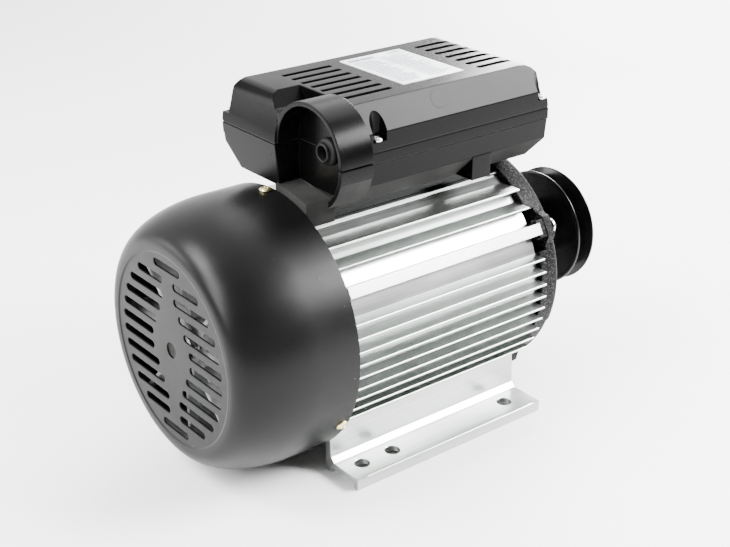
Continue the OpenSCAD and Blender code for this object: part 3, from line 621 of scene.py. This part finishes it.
def clean_copy(node):
    """The node's mesh with its doubled points merged, as a bmesh."""
    bm = bmesh.new()
    bm.from_mesh(NODES[node].data)
    bmesh.ops.remove_doubles(bm, verts=bm.verts, dist=MERGE_WITHIN)
    for layer in bm.loops.layers.uv.values():
        bm.loops.layers.uv.remove(layer)
    return bm


def round_off(bm, edges, width, segments):
    if edges:
        bmesh.ops.bevel(
            bm, geom=edges, offset=width, offset_type="OFFSET", segments=segments, profile=0.5,
            affect="EDGES", clamp_overlap=False, harden_normals=False, miter_outer="ARC",
        )


def sharp_edges(bm):
    limit = math.radians(ROUND_ABOVE)
    return [e for e in bm.edges if e.is_manifold and e.calc_face_angle(0) > limit]


def softened(node, name, width=0, segments=1, first=None):
    """A piece from the node's own mesh, with its edges rounded as a real moulding's are.

    The rounding is as wide as width, or left out at 0. first, when given, works on the mesh before that.
    """
    bm = clean_copy(node)
    if first:
        first(bm)
    if width:
        round_off(bm, sharp_edges(bm), width, segments)
    mesh = mesh_from(bm, name)
    if "custom_normal" in mesh.attributes:
        mesh.attributes.remove(mesh.attributes["custom_normal"])
    piece = new_object(name, mesh)
    shade(piece)
    stand_for(piece, node)
    return piece


def paint_frame_nodes():
    """Gives every node of the frame the material of its slot."""
    for name, node in NODES.items():
        node.data.materials.clear()
        node.data.materials.append(MATERIALS[SLOT_OF[name]])


def on_foot_edge(point):
    """Whether a point is on the foot plate's outer top edge, on either side."""
    return abs(point.z - FOOT_TOP) < SAME_PLACE and abs(abs(point.y) - FOOT_EDGE_Y) < SAME_PLACE


def rounded_foot_edges(bm):
    """The foot plate's outer top edges have a larger radius than the rest of the extrusion."""
    edges = [
        e for e in bm.edges
        if e.is_manifold and e.calc_length() > FOOT_EDGE_LENGTH and all(on_foot_edge(v.co) for v in e.verts)
    ]
    round_off(bm, edges, FOOT_EDGE_R, 4)


def closing_spring():
    """The governor's spring, which on the real motor shortens as the collar slides towards its seat on the
    plate; this piece keeps one shape, with a mesh of its own.
    """
    spring = softened("governor_spring", "weight_spring")
    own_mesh(spring)


def painted_fill_undersides(piece, gets_painted_fill):
    """Gives the faces that a test picks, from their centre and normal, the matte plastic that is painted
    lighter as painted fill light.
    """
    piece.data.materials.append(DULL_PAINTED_FILL)
    for face in piece.data.polygons:
        if gets_painted_fill(face.center, face.normal):
            face.material_index = 1


def under_the_box(centre, normal):
    """The base's undersides and the alcove's bowed floor."""
    alcove_floor = centre.z < BASE_FOOT + ALCOVE_FLOOR_RISE and centre.x < ALCOVE_END and centre.y < 0
    return normal.z < LOOKS_DOWN or alcove_floor


def mould_mark():
    """The faint round witness mark on the lid's near slope, its largest face that looks sideways and up."""
    slope = max(
        (p for p in NODES["box_lid"].data.polygons if p.normal.y < -0.8 and p.normal.z > 0.4),
        key=lambda p: p.area,
    )
    centre = Vector((MARK_X, 0, LID_TOP - MARK_DROP))
    centre.y = slope.center.y - slope.normal.z / slope.normal.y * (centre.z - slope.center.z)
    turn = slope.normal.to_track_quat("Z", "Y").to_matrix().to_4x4()
    bm = bmesh.new()
    bmesh.ops.create_cone(
        bm, cap_ends=True, segments=64, radius1=MARK_FOOT_R, radius2=MARK_TOP_R, depth=MARK_DEPTH,
        matrix=Matrix.Translation(centre) @ turn,
    )
    piece = new_object("mould_mark", mesh_from(bm, "mould_mark"))
    add_to(piece, "box_lid", MATERIALS["black_moulding"])
    shade(piece, MARK_CREASE)


def print_label():
    """Generic print on the label, with no lettering.

    It has a mark and a heading, a rule across below them, and rows of short strokes in two columns.
    """
    rng = random.Random(7)
    bm = bmesh.new()
    top = LABEL_HIGH.z + PRINT_RISE
    left, right = LABEL_LOW.x, LABEL_HIGH.x
    low, high = LABEL_LOW.y, LABEL_HIGH.y
    middle = (left + right) / 2

    def bar(x, y, wide, tall):
        corners = [(x, y), (x + wide, y), (x + wide, y + tall), (x, y + tall)]
        bm.faces.new([bm.verts.new((a, b, top)) for a, b in corners])

    def row(start, end, y, tall, gap):
        x = start
        while x < end:
            wide = min(rng.uniform(*STROKE_WIDTH) * MM, end - x)
            bar(x, y, wide, tall)
            x += wide + gap

    drop, tall, gap = MARK_LINE
    row(left + PRINT_MARGIN, left + MARK_END, high - drop, tall, gap)
    drop, tall, gap = HEADING_LINE
    row(left + HEADING_START, right - PRINT_MARGIN, high - drop, tall, gap)
    drop, tall, inset = RULE
    bar(left + inset, high - drop, right - left - 2 * inset, tall)
    drop, tall, gap = FIRST_TEXT_LINE
    y = high - drop
    while y > low + TEXT_END:
        row(left + PRINT_MARGIN, middle - rng.uniform(*LEFT_SHORT) * MM, y, tall, gap)
        row(middle + COLUMN_GAP, right - rng.uniform(*RIGHT_SHORT) * MM, y, tall, gap)
        y -= TEXT_PITCH
    add_to(new_object("label_print", mesh_from(bm, "label_print")), "rating_label", INK)


# Node to the name, edge radius in mm and rounding steps of the piece that stands for it
SOFT_PIECES = {
    "fan_cover": ("cover", 0.4, 2),
    "box_lid": ("lid", 0.5, 2),
    "box_base": ("base", 0.5, 2),
    "front_endshield": ("front_shield", 0.7, 2),
    "rear_endshield": ("rear_shield", 0.4, 1),
    "pulley": ("belt_pulley", 0.4, 2),
    "cable_gland": ("gland", 0.3, 1),
    "lid_screws": ("lid_screw_set", 0.3, 2),
    "fan_cover_screws": ("cover_screw_set", 0.3, 2),
    "front_shield_screws": ("shield_screw_set", 0.4, 2),
    "pulley_bolt": ("bolt", 0.3, 1),
    "pulley_washer": ("bolt_washer", 0.2, 1),
    "shaft": ("rotor_shaft", 0.3, 1),
    "cooling_fan": ("fan", 0.3, 1),
}

make_camera()
make_world()
make_stage()
make_lights()
paint_frame_nodes()
softened("stator_housing", "housing", HOUSING_EDGE_R, first=rounded_foot_edges)
soft = {
    node: softened(node, name, width * MM, steps)
    for node, (name, width, steps) in SOFT_PIECES.items()
}
# The base's undersides and the alcove floor take the lighter matte plastic as painted fill light
painted_fill_undersides(soft["box_base"], under_the_box)
mould_mark()
closing_spring()
print_label()
